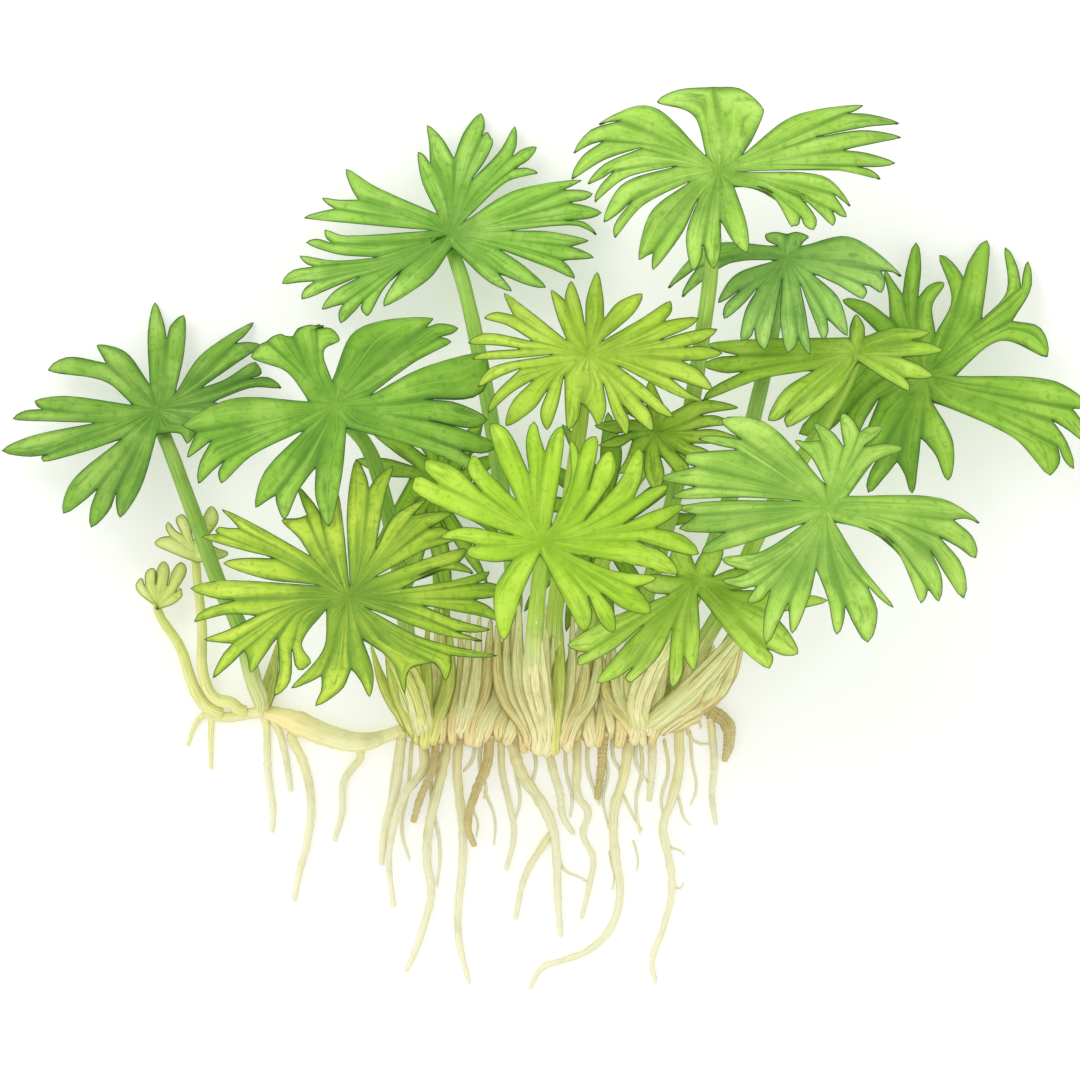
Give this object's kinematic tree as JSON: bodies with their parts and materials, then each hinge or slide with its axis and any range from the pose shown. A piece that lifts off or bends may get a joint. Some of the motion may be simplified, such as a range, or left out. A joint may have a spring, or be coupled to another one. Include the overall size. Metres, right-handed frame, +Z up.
{
  "type": "uprooted river buttercup plant",
  "caption": "Uprooted river buttercup with deeply cut fan-like leaves on curved stalks, a creeping rootstock, a runner and long pale roots, laid down flat.",
  "frame": {"origin": "centre of the bounding box at the level of the surface that the plant lies on", "axes": "+X to the right of the plant as it is seen from above, +Y from the roots towards the leaf tips, +Z up from the surface"},
  "size_m": [0.1085, 0.0902, 0.0349],
  "materials": {
    "lime_leaf": "matte",
    "bright_green_leaf": "matte",
    "mid_green_leaf": "matte",
    "dark_green_leaf": "matte",
    "sea_green_leaf": "matte",
    "young_leaf": "matte",
    "stalk": "satin",
    "bud_sheath": "matte",
    "rootstock": "matte",
    "runner": "matte",
    "pale_root": "matte",
    "tan_root": "matte",
    "dark_root": "matte"
  },
  "bodies": {
    "root": {"leaf_left_blade": "sea_green_leaf", "leaf_left_stalk": "stalk", "leaf_upper_left_blade": "dark_green_leaf", "leaf_upper_left_stalk": "stalk", "leaf_top_blade": "mid_green_leaf", "leaf_top_stalk": "stalk", "leaf_middle_blade": "bright_green_leaf", "leaf_middle_stalk": "stalk", "leaf_lower_left_blade": "bright_green_leaf", "leaf_lower_left_stalk": "stalk", "leaf_centre_blade": "lime_leaf", "leaf_centre_stalk": "stalk", "leaf_top_right_blade": "mid_green_leaf", "leaf_top_right_stalk": "stalk", "leaf_right_drooping_blade": "sea_green_leaf", "leaf_right_drooping_stalk": "stalk", "leaf_middle_hidden_blade": "mid_green_leaf", "leaf_middle_hidden_stalk": "stalk", "leaf_right_small_blade": "bright_green_leaf", "leaf_right_small_stalk": "stalk", "leaf_far_right_blade": "dark_green_leaf", "leaf_far_right_stalk": "stalk", "leaf_lower_right_blade": "bright_green_leaf", "leaf_lower_right_stalk": "stalk", "leaf_low_small_blade": "lime_leaf", "leaf_low_small_stalk": "stalk", "leaf_left_hidden_blade": "dark_green_leaf", "leaf_left_hidden_stalk": "stalk", "leaf_centre_low_blade": "dark_green_leaf", "leaf_centre_low_stalk": "stalk", "young_leaf_left_blade": "young_leaf", "young_leaf_left_stalk": "young_leaf", "young_leaf_right_blade": "young_leaf", "young_leaf_right_stalk": "young_leaf", "bud_sheath": "bud_sheath", "runner_tip": "pale_root", "runner": "runner", "rootstock": "rootstock", "root_runner_long": "pale_root", "root_runner_mid": "pale_root", "root_runner_first": "pale_root", "root_runner_last": "pale_root", "root_left_outer": "pale_root", "root_left_crossing": "pale_root", "root_dark": "dark_root", "root_left_long": "pale_root", "root_long_wavy": "pale_root", "root_tan": "tan_root", "root_thin": "pale_root", "root_main": "pale_root", "root_main_fork": "pale_root", "root_centre": "pale_root", "root_centre_right": "pale_root", "root_tan_right": "tan_root", "root_right_long": "pale_root", "root_right_short": "pale_root", "root_far_long": "pale_root", "root_brown": "dark_root", "root_right_end": "pale_root"}
  },
  "joints": []
}
